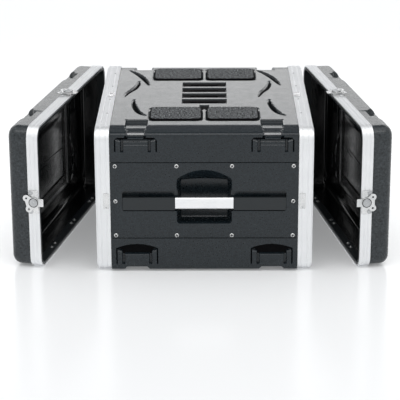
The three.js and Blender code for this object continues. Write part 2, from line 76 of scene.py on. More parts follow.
class Nodes:
    """A new material and the few node steps that the surfaces here are made from."""

    def __init__(self, name, **sockets):
        self.material = bpy.data.materials.new(name)
        self.material.use_nodes = True
        self.tree = self.material.node_tree
        self.shader = self.tree.nodes["Principled BSDF"]
        self.set(self.shader, sockets)
        self.place = self.node("ShaderNodeTexCoord").outputs["Object"]

    def set(self, node, sockets):
        for key, value in sockets.items():
            node.inputs[key.replace("_", " ")].default_value = value

    def node(self, kind, **sockets):
        node = self.tree.nodes.new(kind)
        self.set(node, sockets)
        return node

    def link(self, source, target):
        self.tree.links.new(source, target)
        return self

    def stretch(self, scale):
        """Object coordinates scaled by a different amount along each axis"""
        mapping = self.node("ShaderNodeMapping", Scale=scale)
        self.link(self.place, mapping.inputs["Vector"])
        return mapping.outputs["Vector"]

    def noise(self, scale, detail=2.0, vector=None, roughness=0.5):
        node = self.node("ShaderNodeTexNoise", Scale=scale, Detail=detail, Roughness=roughness)
        self.link(vector or self.place, node.inputs["Vector"])
        return node.outputs["Fac"]

    def cells(self, scale):
        node = self.node("ShaderNodeTexVoronoi", Scale=scale)
        node.feature = "SMOOTH_F1"
        self.link(self.place, node.inputs["Vector"])
        return node.outputs["Distance"]

    def spread(self, value, low, high, socket):
        """Maps the middle of a 0..1 value onto low..high and feeds it to a shader socket"""
        reach = dict(From_Min=0.3, From_Max=0.7, To_Min=low, To_Max=high)
        node = self.node("ShaderNodeMapRange", **reach)
        self.link(value, node.inputs["Value"])
        return self.link(node.outputs["Result"], self.shader.inputs[socket])

    def tint(self, value, dark, light, reach=(0.3, 0.7)):
        """Colour varied between two tones over the part `reach` of a 0..1 value"""
        ramp = self.node("ShaderNodeValToRGB")
        set_stops(ramp, reach, (dark, light))
        self.link(value, ramp.inputs["Fac"])
        return self.link(ramp.outputs["Color"], self.shader.inputs["Base Color"])

    def bump(self, heights):
        """Stacks bumps, each a (height value, distance in metres, strength)"""
        normal = None
        for value, distance, strength in heights:
            node = self.node("ShaderNodeBump", Distance=distance, Strength=strength)
            self.link(value, node.inputs["Height"])
            if normal:
                self.link(normal, node.inputs["Normal"])
            normal = node.outputs["Normal"]
        return self.link(normal, self.shader.inputs["Normal"])


def grained_plastic(name, dark, light, roughness, grain, depth):
    """Moulded plastic with a pebble grain about `grain` millimetres across"""
    nodes = Nodes(name, Metallic=0.0, Specular_IOR_Level=0.42)
    nodes.tint(nodes.noise(900 / grain, 3, roughness=0.7), dark, light)
    nodes.spread(nodes.noise(60, 3), roughness - 0.015, roughness + 0.02, "Roughness")
    pebble = nodes.cells(1000 / grain)
    fine = nodes.noise(2200 / grain, 2)
    return nodes.bump([(pebble, depth, 0.55), (fine, depth * 0.5, 0.35)]).material


def glint_painted_plastic(name, dark, light, grain):
    """Dull coarse plastic with pale specks painted into its colour as glints off its coarse grain"""
    nodes = Nodes(name, Metallic=0.0, Specular_IOR_Level=0.06)
    # The pale specks are painted highlights, the glints of the coarse grain
    nodes.tint(nodes.noise(1500 / grain, 1), dark, light, (0.47, 0.63))
    nodes.spread(nodes.noise(200, 3), 0.5, 0.62, "Roughness")
    return nodes.bump([(nodes.cells(1000 / grain), 0.0022, 0.5)]).material


def smooth_plastic(name, dark, light, roughness):
    """Glossy plastic with slow waves and a trace of grain"""
    nodes = Nodes(name, Metallic=0.0, Specular_IOR_Level=0.5)
    nodes.tint(nodes.noise(14, 4), dark, light)
    nodes.spread(nodes.noise(70, 4), roughness - 0.03, roughness + 0.05, "Roughness")
    waves, fine = nodes.noise(28, 2), nodes.noise(900, 2)
    return nodes.bump([(waves, 0.0012, 0.10), (fine, 0.0001, 0.12)]).material


def dull_plastic(name, dark, light):
    """Coarse matt near-black surface with hardly any sheen, used as painted shade where shade falls"""
    nodes = Nodes(name, Metallic=0.0, Specular_IOR_Level=0.08)
    nodes.tint(nodes.noise(300, 3), dark, light)
    nodes.spread(nodes.noise(500, 2), 0.8, 0.95, "Roughness")
    return nodes.bump([(nodes.cells(900), 0.0006, 0.5)]).material


EDGE_TINT = (0.65, 0.65, 0.66, 1)  # dims what metal reflects at a grazing angle


def metal(name, dark, light, roughness, stretch, depth=0.00004):
    """Metal with fine drawing lines; `stretch` is small along the lines and large across"""
    nodes = Nodes(name, Metallic=1.0, Specular_Tint=EDGE_TINT)
    lines = nodes.noise(1.0, 3, nodes.stretch(stretch))
    nodes.tint(nodes.noise(22, 3), dark, light)
    nodes.spread(lines, roughness - 0.06, roughness + 0.08, "Roughness")
    return nodes.bump([(lines, depth, 0.35)]).material


SHELL = grained_plastic("shell_plastic", (0.002, 0.0055, 0.008), (0.015, 0.022, 0.027), 0.22, 3.0, 0.0001)
# The pads: dark coarse plastic with painted glints
PAD = glint_painted_plastic("pad_plastic", (0.002, 0.003, 0.004), (0.20, 0.21, 0.22), 6.0)
LID = grained_plastic("lid_plastic", (0.0, 0.002, 0.003), (0.046, 0.055, 0.061), 0.27, 4.0, 0.0002)
LINING = smooth_plastic("lid_lining", (0.003, 0.0035, 0.004), (0.005, 0.006, 0.0065), 0.16)
COVER = grained_plastic("cover_plastic", (0.011, 0.015, 0.017), (0.014, 0.018, 0.021), 0.36, 1.3, 0.0003)
# Painted shade: near-black matt plastic laid where shade falls, in deep recesses, under the pads' edges, in
# the slots, round the latch hubs and in the screws' crosses
SHADE_PAINT = dull_plastic("shade_paint_plastic", (0.002, 0.002, 0.0025), (0.004, 0.004, 0.0045))
VALANCE = metal("valance_metal", (0.84, 0.85, 0.86), (0.88, 0.89, 0.90), 0.52, (1200, 20, 20))
GRIP = metal("grip_metal", (0.90, 0.91, 0.92), (0.94, 0.945, 0.95), 0.34, (25, 900, 900))
NICKEL = metal("nickel", (0.62, 0.63, 0.63), (0.78, 0.78, 0.78), 0.27, (500, 500, 500))
RIVET = metal("rivet_metal", (0.42, 0.43, 0.44), (0.56, 0.57, 0.58), 0.34, (700, 700, 700), 0.0002)
RAIL = grained_plastic("rail_paint", (0.008, 0.008, 0.009), (0.012, 0.012, 0.013), 0.38, 0.9, 0.0001)


# ---- Meshes ----

MERGE = 0.000002  # points this close, in metres, become one


def arc(centre, radius, angles):
    return [(centre[0] + radius * math.cos(a), centre[1] + radius * math.sin(a)) for a in angles]


class Builder:
    """Collects points and faces in millimetres; every face has a material number.

    The methods that add whole shapes return the builder.
    """

    def __init__(self):
        self.points, self.faces, self.kinds = [], [], []

    def add(self, points):
        start = len(self.points)
        self.points.extend(tuple(p) for p in points)
        return list(range(start, len(self.points)))

    def face(self, indices, kind=0):
        self.faces.append(tuple(indices))
        self.kinds.append(kind)

    def strip(self, row, other, closed, kind=0):
        """Quads between two rows of point numbers"""
        count = len(row) if closed else len(row) - 1
        for i in range(count):
            j = (i + 1) % len(row)
            self.face((row[i], row[j], other[j], other[i]), kind)

    def loft(self, rows, closed_loft=False, kind=0, caps=False):
        """Skin over closed rows of points. `kind` may be a list with one number per strip."""
        rings = [self.add(row) for row in rows]
        pairs = list(zip(rings, rings[1:])) + ([(rings[-1], rings[0])] if closed_loft else [])
        kinds = kind if isinstance(kind, list) else [kind] * len(pairs)
        for (row, other), strip_kind in zip(pairs, kinds):
            self.strip(row, other, True, strip_kind)
        if caps:
            self.face(rings[0], kinds[0])
            self.face(reversed(rings[-1]), kinds[-1])
        return self

    def prism(self, outline, low, high, kind=0):
        return self.loft([[(x, y, z) for x, y in outline] for z in (low, high)], kind=kind, caps=True)

    def box(self, x, y, z):
        return self.prism(rectangle(x, y, 0), *z)

    def lathe(self, profile, centre=(0, 0), steps=20, kind=0):
        """A solid of revolution about z; the profile's (radius, z) points run up the outside"""
        turns = [2 * math.pi * i / steps for i in range(steps)]
        rows = [[(x, y, z) for x, y in arc(centre, radius, turns)] for radius, z in profile]
        return self.loft(rows, kind=kind, caps=True)

    def copies(self, other, places):
        """Adds another builder's faces once for each matrix in `places`"""
        for place in places:
            start = len(self.points)
            self.points.extend(tuple(place @ Vector(p)) for p in other.points)
            for face, kind in zip(other.faces, other.kinds):
                self.face([start + i for i in face], kind)
        return self

    def mesh(self, name, materials, matrix):
        mesh = bpy.data.meshes.new(name)
        mesh.from_pydata([MM * (matrix @ Vector(p)) for p in self.points], [], self.faces)
        for material in materials:
            mesh.materials.append(material)
        mesh.polygons.foreach_set("material_index", self.kinds)
        work = bmesh.new()
        work.from_mesh(mesh)
        bmesh.ops.remove_doubles(work, verts=work.verts, dist=MERGE)
        bmesh.ops.recalc_face_normals(work, faces=work.faces)
        work.to_mesh(mesh)
        work.free()
        return mesh


def new_object(name, data):
    item = bpy.data.objects.new(name, data)
    bpy.context.scene.collection.objects.link(item)
    return item


BEVEL_STEPS = 3


def add_piece(name, builder, materials, body, matrix=Matrix.Identity(4), angle=35, bevel=0,
              bevel_from=28, joins=(), cuts=(), nodes=()):
    """Makes one object, joins, cuts and bevels it, and lets it ride on a body in place of CAD nodes.

    `angle` is the sharpest bend, in degrees, that is shaded smooth, and `bevel_from` the least
    bend that gets a bevel. `joins` and `cuts` are builders.
    """
    piece = new_object(name, builder.mesh(name, materials, matrix))
    tools = []
    for action, builders in (("UNION", joins), ("DIFFERENCE", cuts)):
        for tool in builders:
            tools.append(new_object(f"{name}_tool", tool.mesh(f"{name}_tool", materials, matrix)))
            modifier = piece.modifiers.new("tool", "BOOLEAN")
            modifier.operation = action
            modifier.object = tools[-1]
            modifier.solver = "EXACT"
    if bevel:
        modifier = piece.modifiers.new("bevel", "BEVEL")
        modifier.width = bevel * MM
        modifier.segments = BEVEL_STEPS
        modifier.limit_method = "ANGLE"
        modifier.angle_limit = math.radians(bevel_from)
    if piece.modifiers:
        graph = bpy.context.evaluated_depsgraph_get()
        mesh = bpy.data.meshes.new_from_object(piece.evaluated_get(graph))
        piece.modifiers.clear()
        piece.data = mesh
    for tool in tools:
        bpy.data.objects.remove(tool)
    piece.data.polygons.foreach_set("use_smooth", [True] * len(piece.data.polygons))
    piece.data.set_sharp_from_angle(angle=math.radians(angle))
    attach(piece, body)
    if nodes:
        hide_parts(*nodes)


def ease(value, edge, width):
    """0 below an edge, 1 above it, smooth over `width`"""
    t = min(1.0, max(0.0, (value - edge) / width + 0.5))
    return t * t * (3 - 2 * t)


def between(value, low, high, width):
    """1 between two edges and 0 outside them, smooth over `width`"""
    return ease(value, low, width) * (1 - ease(value, high, width))


def ramp(value, middle, width):
    """0 to 1 in a straight line"""
    return min(1.0, max(0.0, (value - middle) / width + 0.5))


def grid_lines(edges, low, high, step, width):
    """Grid positions no further apart than `step`, with extra ones across each feature's edge"""
    marks = {low, high}
    for edge in edges:
        marks.update(edge + k * width for k in (-0.5, -0.25, 0, 0.25, 0.5))
    marks = sorted(m for m in marks if low <= m <= high)
    out = []
    for a, b in zip(marks, marks[1:]):
        if b - a > 0.05:
            count = math.ceil((b - a) / step)
            out += [a + (b - a) * i / count for i in range(count)]
    return out + [high]


def bezier(start, middle, end, steps):
    """Points on a curve from start to end that leans towards the middle point"""
    out = []
    for k in range(steps + 1):
        t = k / steps
        a, b, c = (1 - t) ** 2, 2 * t * (1 - t), t * t
        out.append(tuple(a * start[n] + b * middle[n] + c * end[n] for n in range(2)))
    return out


def rounded(points, radius, steps=4):
    """Rounds the corners of a polygon. `radius` may be a list with one number per corner."""
    out = []
    count = len(points)
    for i, (x, y) in enumerate(points):
        size = radius[i] if isinstance(radius, list) else radius
        others = points[i - 1], points[(i + 1) % count]
        gaps = [math.hypot(other[0] - x, other[1] - y) for other in others]
        size = min(size, 0.49 * gaps[0], 0.49 * gaps[1])
        if size <= 0:
            out.append((x, y))
            continue
        ends = [(x + (other[0] - x) * size / gap, y + (other[1] - y) * size / gap)
                for other, gap in zip(others, gaps)]
        out += bezier(ends[0], (x, y), ends[1], steps)
    return out


def rectangle(x, y, radius, steps=4):
    """Outline of a rectangle with rounded corners; x and y are (low, high)"""
    return rounded([(x[0], y[0]), (x[1], y[0]), (x[1], y[1]), (x[0], y[1])], radius, steps)


def rim(depth, across, up, steps=8):
    """Points round the case outline, `depth` inside the valances' outer face.

    `across` and `up` are fractions along the straight runs where extra points go.
    """
    radius = max(CORNER - depth, 2)
    flat_y, flat_z = HALF_WIDTH - depth - radius, MIDDLE_Z - depth - radius
    corners = []
    for turn, (sy, sz) in enumerate(((1, 1), (-1, 1), (-1, -1), (1, -1))):
        angles = [(turn + i / steps) * math.pi / 2 for i in range(steps + 1)]
        centre = (sy * flat_y, MIDDLE_Z + sz * flat_z)
        corners.append(arc(centre, radius, angles))
    out = []
    for i, corner in enumerate(corners):
        start, end = corner[-1], corners[(i + 1) % 4][0]
        out += corner
        for t in across if i % 2 == 0 else up:
            out.append((start[0] + (end[0] - start[0]) * t, start[1] + (end[1] - start[1]) * t))
    return out


def end_matrix(end):
    """End frame to case frame"""
    if end == "rear":
        return Matrix.Translation((HALF_LENGTH, 0, 0))
    return Matrix.Translation((-HALF_LENGTH, 0, 0)) @ Matrix.Rotation(math.pi, 4, "Z")


def lid_matrix(end):
    """End frame to case frame for what is on the lid, as it stands at rest"""
    side = 1 if end == "rear" else -1
    turn = Matrix.Rotation(math.radians(side * LID_ANGLE[end]), 4, "Z")
    pole = Matrix.Translation((0, side * POLE_Y, 0))
    return end_matrix(end) @ pole @ turn @ pole.inverted()


def latch_matrix(key):
    """Latch frame (x towards the case, z out of the valance, hub at 0, 0) to end frame"""
    normal, y, z = {
        "top": (Vector((0, 0, 1)), 0, HEIGHT),
        "plus": (Vector((0, 1, 0)), HALF_WIDTH, LATCH_Z),
        "minus": (Vector((0, -1, 0)), -HALF_WIDTH, LATCH_Z),
    }[key]
    inwards = Vector((-1, 0, 0))
    along = normal.cross(inwards)
    turn = Matrix((inwards, along, normal)).transposed().to_4x4()
    return Matrix.Translation((HUB_X, y, z)) @ turn


# ---- Case shells ----

GOUGES = [
    [(-193, 235), (-172, 207), (-155, 172), (-144, 131), (-137, 90)],
    [(-164, 134), (-164, 91), (-172, 54), (-185, 24), (-196, -13)],
    [(-170, -33), (-167, -74), (-157, -122), (-147, -152), (-136, -171)],
]
GOUGE_SHIFT = 329  # from the gouges at the front end to those at the rear end
GOUGE_DEPTH, GOUGE_WIDTH = 9, 12
SLOT_X = (-54, 54)
SLOT_ROWS = ((-69, -31), (-19, 19), (31, 69), (81, 119))
SOCKET = ((-11, 11), (-117, -83))
SINK = 3.2  # depth of the slots and the socket
PAD_X = (6, 128)
PAD_ROWS = ((-206, -104), (144, 246))
PAD_CORNER, PAD_TOP_CORNER = 15, 18
MOAT_FRONT, MOAT_SIDE, MOAT_DEPTH = 9, 4.5, 2.7
FOOT_HALF, FOOT_BLOCK, FOOT_POST, FOOT_DEPTH = 48.5, 28.8, (34.5, 46.6), 7.8
UPPER_STEPS, LOWER_STEPS = (310.5, 318, 323.5), (41, 43.5)  # heights where the feet's blocks step back
NOTCH_Y, NOTCH_FAR_Y, NOTCH_FLOOR = 203.5, 239, 337
ROOF_REACH = 250  # |y| that the roof's slots, pads and gouges stay within
INNER_Y, INNER_TOP, INNER_BOTTOM = 283.7, 333, 11
# Faces of gouges and recesses deeper than this get the dull dark painted-shade material, standing in for
# the shadow in their cores; the recesses only above these heights
SHADE_PAINT_GOUGE, SHADE_PAINT_RECESS, SHADE_PAINT_ABOVE = 1.7, 6.8, {True: 321, False: 42}


def curve_points(points):
    """A smooth line of about 24 points through a few (Catmull-Rom)"""
    ends = [points[0], *points, points[-1]]
    steps = 24 // (len(points) - 1)
    out = []
    for i in range(len(points) - 1):
        p0, p1, p2, p3 = (Vector(p) for p in ends[i : i + 4])
        for k in range(steps):
            t = k / steps
            a = 2 * p1 + (p2 - p0) * t
            b = (2 * p0 - 5 * p1 + 4 * p2 - p3) * t * t
            c = (3 * p1 - p0 - 3 * p2 + p3) * t * t * t
            out.append((a + b + c) / 2)
    return out + [Vector(points[-1])]


def groove_depth(grooves, x, y, width, depth):
    """Depth of the crescent gouges: a steep wall on the +x side, a long ramp on the other"""
    here = Vector((x, y))
    for line in grooves:
        first, last = sorted((line[0].x, line[-1].x))
        if not first - 30 < x < last + 30:
            continue
        best = None
        for i in range(len(line) - 1):
            a, b = line[i], line[i + 1]
            step = b - a
            t = min(1.0, max(0.0, (here - a).dot(step) / step.length_squared))
            away = here - (a + step * t)
            if best is None or away.length < best[0]:
                best = (away.length, away, step, (i + t) / (len(line) - 1))
        distance, away, step, along = best
        if 0.01 < along < 0.99 and distance < width:
            normal = Vector((-step.y, step.x)).normalized()
            if normal.x < 0:
                normal = -normal
            swell = math.sin(math.pi * along) ** 0.6
            reach = max(width * swell, 1)
            across = away.dot(normal)
            if -reach < across < 3:
                near = min(1, (1 + across / reach) * 1.35)
                return depth * swell * near * (1 - ramp(across, 1.0, 2.0))
    return 0.0


TOP_GOUGES = [curve_points([(x + dx, y) for x, y in g]) for g in GOUGES for dx in (0, GOUGE_SHIFT)]


def pad_moat(x, y):
    """Depth of the shallow dish round each pad, deepest along the pad's edge"""
    for row in PAD_ROWS:
        across = max(PAD_X[0] - abs(x), abs(x) - PAD_X[1]) + PAD_CORNER
        along = max(row[0] - y, y - row[1]) + PAD_CORNER
        away = math.hypot(max(across, 0), max(along, 0)) - PAD_CORNER
        front = min(1, max(0, (row[0] + PAD_CORNER - y) / PAD_CORNER))
        reach = MOAT_SIDE + (MOAT_FRONT - MOAT_SIDE) * front
        if away < reach:
            return MOAT_DEPTH * (1 - max(0, away) / reach) ** 0.7
    return 0.0


def top_feature(x, y):
    """How far the roof lies below its plane at a point"""
    sunk = sum(between(x, *SLOT_X, 1.5) * between(y, *row, 1.5) for row in SLOT_ROWS)
    sunk += between(x, *SOCKET[0], 1.5) * between(y, *SOCKET[1], 1.5)
    return SINK * sunk + pad_moat(x, y)


def foot_depth(x, z, top, block, post, low):
    """Depth of the recess round a moulded foot, with a stepped block between two posts.

    `low` and `top` are the recess's edges; `block` and `post` give the depths of the raised parts.
    """
    along = ramp(x, -FOOT_HALF, 2.4) * (1 - ramp(x, FOOT_HALF, 2.4))
    region = along * (1 - ramp(z, top, 2.6)) * ramp(z, low, 2.6)
    depth, out = FOOT_DEPTH, abs(x)
    if out < FOOT_BLOCK + 0.7:
        depth = block + (depth - block) * ramp(out, FOOT_BLOCK, 1.6)
    elif out > FOOT_POST[0] - 1:
        on_post = ramp(out, FOOT_POST[0], 1.6) * (1 - ramp(out, FOOT_POST[1], 1.6))
        depth = post + (depth - post) * (1 - on_post)
    return region * depth


def upper_foot(x, z):
    low, middle, high = UPPER_STEPS
    block = 0.2 + 2.2 * ramp(z, low, 2.6) + 2.6 * ramp(z, middle, 3) + 2.8 * ramp(z, high, 1.8)
    crest = 318.5 + 0.3 * (abs(x) - 34)
    post = 0.2 + 3 * ramp(z, crest, 3.4) + 4.6 * ramp(z, crest + 3.6, 1.8)
    top = 331.5 if abs(x) < 24 else 328 - 1.1 * max(0, abs(x) - 43)
    return foot_depth(x, z, top, block, post, 295)


def lower_foot(x, z):
    block = 0.4 + 2.2 * ramp(z, LOWER_STEPS[0], 2.6) + 5.2 * ramp(z, LOWER_STEPS[1], 1.6)
    crest = 46.5 + 0.32 * (abs(x) - 34)
    post = 0.4 + 3 * ramp(z, crest, 3.4) + 4.4 * ramp(z, crest + 3.6, 1.8)
    arch_top = 56.5 + 10.5 * (1 - (x / 49) ** 2)
    return foot_depth(x, z, arch_top, block, post, 19)


def notch_weight(x, y):
    """1 inside a notch in the roof's edge; the near side's notches reach further in"""
    half = 25 - 6 * ease(abs(y), 262, 50)
    return between(x, -half, half, 3.5) * ease(abs(y), NOTCH_Y if y < 0 else NOTCH_FAR_Y, 5)


def notch_floor(y):
    """Height of the floor of a notch in the roof's edge"""
    out = abs(y)
    drop = 0.14 * max(0, out - 244)
    return NOTCH_FLOOR - drop - 3.4 * ramp(out, 266.5, 4) - max(0, out - 286) ** 2 / 20


def shell_section(upper):
    """Half section of a shell from its seam to the middle, as (|y|, z) points"""
    seam = SEAMS[1] + 0.15 if upper else SEAMS[0] - 0.15
    edge, plane, start, reach = (338.4, ROOF, 245.5, 9.5) if upper else (6, STEP_IN, 285, 3)
    stop = edge - reach if upper else edge + reach
    low, high = sorted((seam, stop))
    marks = (294, *UPPER_STEPS, 328) if upper else (19.5, *LOWER_STEPS, 50, 60, 66)
    straight = [(FACE, z) for z in grid_lines(marks, low, high, 1.15, 1.8)]
    if not upper:
        straight.reverse()
    steps = 7
    corners = [(FACE, seam), (FACE, edge), (start, plane), (200, plane)]
    bend = rounded(corners, [0, reach, 5, 0], steps)[1:-1]
    roll, rest = bend[: steps + 1], bend[steps + 1 :]
    slope = [tuple(a + (b - a) * (i / 16) for a, b in zip(roll[-1], rest[0])) for i in range(1, 16)]
    return straight[:-1] + roll + slope + rest


def tucked(x, y, z):
    """Keeps a point near the case's ends inside the valances' rounded corners"""
    if abs(x) < HALF_LENGTH - 32:
        return x, y, z
    flat_y, flat_z = HALF_WIDTH - CORNER, MIDDLE_Z - CORNER
    out_y, out_z = abs(y) - flat_y, abs(z - MIDDLE_Z) - flat_z
    far, limit = math.hypot(out_y, out_z), CORNER - 3.2
    if out_y > 0 and out_z > 0 and far > limit:
        k = limit / far
        y = math.copysign(flat_y + out_y * k, y)
        z = MIDDLE_Z + math.copysign(flat_z + out_z * k, z - MIDDLE_Z)
    return x, y, z


def skin_point(upper, x, y, z):
    """A point of a shell's outer skin, moved by what is moulded there, and whether it lies deep enough to
    get painted shade
    """
    local = x - math.copysign(STACK_X, x)
    recess = upper_foot(local, z) if upper else lower_foot(local, z)
    in_roof = upper and abs(y) < ROOF_REACH
    gouge = groove_depth(TOP_GOUGES, x, y, GOUGE_WIDTH, GOUGE_DEPTH) if in_roof else 0
    # Points deep in a gouge or foot recess are marked for painted shade
    dark = gouge > SHADE_PAINT_GOUGE or (abs(y) > 288 and recess > SHADE_PAINT_RECESS and z > SHADE_PAINT_ABOVE[upper])
    if abs(y) > 240 and recess > 0:
        y = math.copysign(min(abs(y), FACE - recess), y)
    if upper:
        if in_roof:
            z -= top_feature(x, y)
        if abs(y) > 198:
            z += (min(z, notch_floor(y)) - z) * notch_weight(local, y)
    else:
        if z < 20:
            weight = between(local, -26, 26, 8) * ease(abs(y), 263, 2)
            z += (max(z, 12) - z) * weight
        foot = between(local, -23, 23, 1.5) * between(abs(y), 208, 262, 1.5)
        centre = between(x, -70, 70, 1.5) * between(y, -55, 55, 1.5)
        if abs(y) < 264:
            z -= STEP_IN * max(foot, centre)
    x, y, z = tucked(x, y, z)
    return (x, y, z - gouge), dark


def case_shell(upper):
    """One body shell: a fine outer skin with its moulded features over a plain inner skin"""
    half = shell_section(upper)
    edge, plane = half[-1]
    if upper:
        marks = [v for row in SLOT_ROWS for v in row] + [*SOCKET[1], -NOTCH_Y, NOTCH_Y]
        marks += [v for row in PAD_ROWS for v in (row[0] - MOAT_FRONT, *row, row[1] + MOAT_SIDE)]
        flat = grid_lines(marks, -edge, edge, 2.3, 1.8)[1:-1]
    else:
        flat = grid_lines([-262, -208, -55, 55, 208, 262], -edge, edge, 9, 1.5)[1:-1]
    section = [(-y, z) for y, z in half] + [(y, plane) for y in flat] + [(y, z) for y, z in reversed(half)]
    foot = (FOOT_BLOCK, *FOOT_POST, FOOT_HALF)
    marks = [s * STACK_X + t * o for s in SIDES for t in SIDES for o in foot]
    marks += [*SLOT_X, *SOCKET[0], -70, 70]
    marks += [s * m for s in SIDES for m in (*PAD_X, PAD_X[1] + MOAT_SIDE)]
    columns = grid_lines(marks, -SHELL_X, SHELL_X, 2.1, 1.6)
    builder = Builder()
    outer, dark = [], []
    for x in columns:
        skin = [skin_point(upper, x, y, z) for y, z in section]
        outer.append(builder.add([point for point, _ in skin]))
        dark.append([in_painted_shade for _, in_painted_shade in skin])
    for i in range(len(columns) - 1):
        for k in range(len(section) - 1):
            corners = ((i, k), (i, k + 1), (i + 1, k + 1), (i + 1, k))
            # A face whose corners are all marked takes material 1, painted shade
            builder.face([outer[a][b] for a, b in corners], int(all(dark[a][b] for a, b in corners)))
    inner_section = []
    for y, z in section:
        y = math.copysign(min(abs(y), INNER_Y), y)
        inner_section.append((y, min(z, INNER_TOP) if upper else max(z, INNER_BOTTOM)))
    inner = [builder.add([(x, y, z) for y, z in inner_section]) for x in (columns[0], columns[-1])]
    builder.strip(inner[0], inner[1], False)
    builder.strip(outer[0], inner[0], False)
    builder.strip(outer[-1], inner[1], False)
    for k in (0, -1):
        builder.face([row[k] for row in outer] + [inner[1][k], inner[0][k]])
    return builder


def build_shells():
    for name, upper in (("top_shell", True), ("bottom_shell", False)):
        add_piece(f"{name}_skin", case_shell(upper), [SHELL, SHADE_PAINT], "case", nodes=[name])
    # The pads' edge as (inset, height); its four lower strips get painted shade, dark as if in shadow under
    # the pad's edge
    skirt = [(0, -3), (0.1, 0.2), (0.5, 1.5), (1.3, 2.3), (2.6, 2.8), (4.5, 3.0), (10, 3.0)]
    for i, row in enumerate(PAD_ROWS):
        for side in SIDES:
            x = sorted((side * PAD_X[0], side * PAD_X[1]))
            pad = Builder()
            rings = []
            for inset, rise in skirt:
                across, along = (x[0] + inset, x[1] - inset), (row[0] + inset, row[1] - inset)
                outline = rectangle(across, along, max(PAD_TOP_CORNER - inset, 3), 7)
                rings.append([(px, py, ROOF + rise) for px, py in outline])
            pad.loft(rings, kind=[1, 1, 1, 1, 0, 0], caps=True)
            name = f"top_pad_{i}_{'plus' if side > 0 else 'minus'}"
            add_piece(name, pad, [PAD, SHADE_PAINT], "case", angle=60)
    # Near-black slabs on the floors of the sunk slots and the socket: painted shade standing in for the
    # shadow deep in them, each slot's with a thin rib
    sunk = [(SLOT_X, row) for row in SLOT_ROWS] + [SOCKET]
    for i, (x, y) in enumerate(sunk):
        slot_shade = Builder()
        outline = rectangle((x[0] + 1.2, x[1] - 1.2), (y[0] + 1.2, y[1] - 1.2), 2.5)
        slot_shade.prism(outline, ROOF - SINK - 0.4, ROOF - SINK + 0.6)
        if x == SLOT_X:
            middle = (y[0] + y[1]) / 2
            slot_shade.box((x[0] + 20, x[1] - 20), (middle - 1.5, middle + 1.5), (ROOF - SINK, ROOF - 0.9))
        add_piece(f"top_inlay_{i}", slot_shade, [SHADE_PAINT], "case", bevel=0.4)


# ---- Side panels and handles ----

PANEL_THICK = 5
CUP_DEPTH, CUP_WALL = 50, 4
CUP_MOUTH = (64, 119, 229, 251, 8)  # half width, floor, shoulder, crown, corner
CUP_BACK = (57, 118, 213, 216, 7)
GROOVE_HALF, GROOVE_Z, GROOVE_BACK, GROOVE_WALL = 190, (150, 199), 15, 4
GRIP_HALF, GRIP_Z, GRIP_RIBS, GRIP_PROUD = 67.5, (156, 183), 8, 2
COVER_Z, COVER_THICK, COVER_FOOT = (152, 183), 7.5, 38
SCREWS = [(x, z) for x in (-206, -64, 64, 206) for z in (260.3, 90.3)] + [(-206, 174.5), (206, 174.5)]


def cup_outline(shape, grow):
    """Outline of the handle cup in x and z; every shape has the same number of points"""
    half, low, shoulder, top, corner = shape
    half, low, shoulder, top = half + grow, low - grow, shoulder + grow, top + grow
    out = []
    for x, start in ((-half + corner, 2), (half - corner, 3)):
        angles = [(start + i / 6) * math.pi / 2 for i in range(7)]
        out += arc((x, low + corner), corner, angles)
    crown = [(half - corner) * (1 - i / 8) for i in range(9)]
    crown = [(x, shoulder + (top - shoulder) * (1 - (x / half) ** 2)) for x in crown]
    side = bezier((half, shoulder - corner), (half, shoulder + 1), crown[0], 6)
    right_half = side[:-1] + crown
    return out + right_half + [(-x, z) for x, z in reversed(right_half[:-1])]


def side_loft(rings):
    """Skin through rings, each an x-z outline and its depth behind the side's face"""
    return Builder().loft([[(x, -FACE + depth, z) for x, z in ring] for ring, depth in rings], caps=True)


def facing(outline, near, far):
    """An x-z outline drawn out between two depths behind the side's face"""
    return side_loft([(outline, near), (outline, far)])


def cup_space(grow, front, back):
    """The cup's tapering space between two depths, `grow` wider all round"""
    mouth, end = cup_outline(CUP_MOUTH, grow), cup_outline(CUP_BACK, grow)
    round_off = 2.5
    half, low, shoulder, top, _ = CUP_BACK
    tight = (half - round_off, low + round_off, shoulder - round_off, top - round_off, 5)
    tight = cup_outline(tight, grow)
    return side_loft([(mouth, front), (mouth, max(front, 0)), (end, back - round_off), (tight, back)])


def screw_head():
    """A pan-head screw standing on z = 0, and the cutter for its cross recess, whose walls get painted
    shade
    """
    profile = [(5, -0.4), (5, 0.5), (4.7, 1.2), (4.0, 1.8), (3.0, 2.2), (2.4, 2.3)]
    thin, long = 1.0, 3.5
    plus = []
    for turn in range(4):
        cos, sin = math.cos(turn * math.pi / 2), math.sin(turn * math.pi / 2)
        arm = ((thin, -thin), (long, -thin), (long, thin))
        plus += [(x * cos - y * sin, x * sin + y * cos) for x, y in arm]
    # The cutter's faces are material 1, so the cross recess is lined with painted shade
    return Builder().lathe(profile, steps=24), Builder().prism(plus, 0.7, 4, kind=1)


